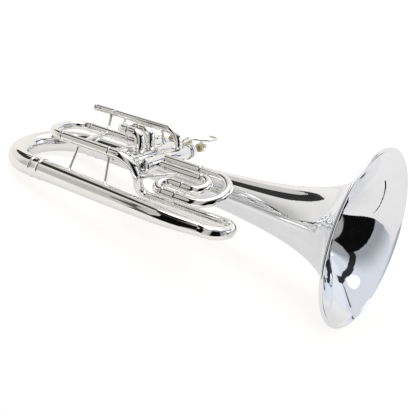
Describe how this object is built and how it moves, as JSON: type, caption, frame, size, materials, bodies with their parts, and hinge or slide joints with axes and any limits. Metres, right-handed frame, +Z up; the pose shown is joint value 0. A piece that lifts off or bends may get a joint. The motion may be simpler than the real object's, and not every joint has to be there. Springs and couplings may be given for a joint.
{
  "type": "marching euphonium",
  "caption": "Silver-plated bell-front brass instrument with piston valves, tuning slides, a wide flared bell and a U-shaped big bow, lying on its side.",
  "frame": {"origin": "centre of the base of the bounding box, on the ground that the bell rim and the big bow rest on", "axes": "+X along the instrument's length towards the bell's mouth, +Y towards the finger buttons, +Z up as it lies"},
  "size_m": [0.6572, 0.3106, 0.2737],
  "materials": {
    "silver": "silver plated, polished to a mirror",
    "nickel": "nickel plated, polished",
    "spring_steel": "drawn spring wire",
    "pearl": "glossy mother of pearl",
    "cork": "natural cork",
    "felt": "pressed white felt"
  },
  "bodies": {
    "horn": {"bell": "silver", "main_bow": "silver", "bottom_branch": "silver", "big_bow_ferrule": "silver", "bell_ferrule": "silver", "front_bow": "silver", "return_branch": "silver", "neck": "silver", "valve_casing_1": "silver", "bottom_cap_1": "silver", "top_cap_1": "silver", "valve_spring_1": "spring_steel", "valve_casing_2": "silver", "bottom_cap_2": "silver", "top_cap_2": "silver", "valve_spring_2": "spring_steel", "valve_casing_3": "silver", "bottom_cap_3": "silver", "top_cap_3": "silver", "valve_spring_3": "spring_steel", "main_slide_sleeve_lower": "silver", "main_slide_sleeve_upper": "silver", "main_slide_brace": "silver", "rear_strut": "silver", "front_strut": "silver", "mouthpiece_receiver": "silver", "leadpipe": "silver", "leadpipe_post_rear": "silver", "leadpipe_post_front": "silver", "second_slide_sleeve_low": "silver", "second_slide_sleeve_high": "silver", "first_slide_sleeve_low": "silver", "first_slide_sleeve_high": "silver", "third_slide_sleeve_outer": "silver", "third_slide_inner_bow": "silver", "third_slide_left_bow": "silver", "bell_strut": "silver", "neck_brace": "silver", "valve_link_1": "silver", "valve_link_2": "silver", "finger_hook": "silver"},
    "valve_1": {"piston_1": "nickel", "finger_button_1": "silver", "pearl_1": "pearl", "button_felt_1": "felt"},
    "valve_2": {"piston_2": "nickel", "finger_button_2": "silver", "pearl_2": "pearl", "button_felt_2": "felt"},
    "valve_3": {"piston_3": "nickel", "finger_button_3": "silver", "pearl_3": "pearl", "button_felt_3": "felt"},
    "main_slide": {"main_tuning_slide": "silver"},
    "water_key": {"water_key_lever": "nickel", "water_key_cork": "cork"},
    "first_slide": {"first_slide": "silver"},
    "second_slide": {"second_slide": "silver", "second_slide_knob": "silver"},
    "third_slide": {"third_slide": "silver"}
  },
  "joints": [
    {"name": "valve_1_press", "type": "slide", "parent": "horn", "child": "valve_1", "axis": [-0.0072, -0.9993, 0.0365], "range_m": [0, 0.015], "stiffness_N_per_m": 150, "springref_m": -0.02, "deforming": ["valve_spring_1"]},
    {"name": "valve_2_press", "type": "slide", "parent": "horn", "child": "valve_2", "axis": [-0.0072, -0.9993, 0.0365], "range_m": [0, 0.015], "stiffness_N_per_m": 150, "springref_m": -0.02, "deforming": ["valve_spring_2"]},
    {"name": "valve_3_press", "type": "slide", "parent": "horn", "child": "valve_3", "axis": [-0.0072, -0.9993, 0.0365], "range_m": [0, 0.015], "stiffness_N_per_m": 150, "springref_m": -0.02, "deforming": ["valve_spring_3"]},
    {"name": "main_slide_pull", "type": "slide", "parent": "horn", "child": "main_slide", "axis": [-0.9813, 0, -0.1926], "range_m": [0, 0.04]},
    {"name": "water_key_open", "type": "hinge", "parent": "main_slide", "child": "water_key", "pos_m": [-0.24297, -0.06912, 0.06966], "axis": [0.9672, 0.1859, 0.1732], "range_deg": [0, 12], "stiffness_Nm_per_rad": 0.05, "springref_deg": -34.38},
    {"name": "first_slide_pull", "type": "slide", "parent": "horn", "child": "first_slide", "axis": [-0.9813, 0, -0.1926], "range_m": [0, 0.022]},
    {"name": "second_slide_pull", "type": "slide", "parent": "horn", "child": "second_slide", "axis": [-0.9813, 0, -0.1926], "range_m": [0, 0.014]},
    {"name": "third_slide_pull", "type": "slide", "parent": "horn", "child": "third_slide", "axis": [0.9813, 0, 0.1926], "range_m": [0, 0.026]}
  ]
}
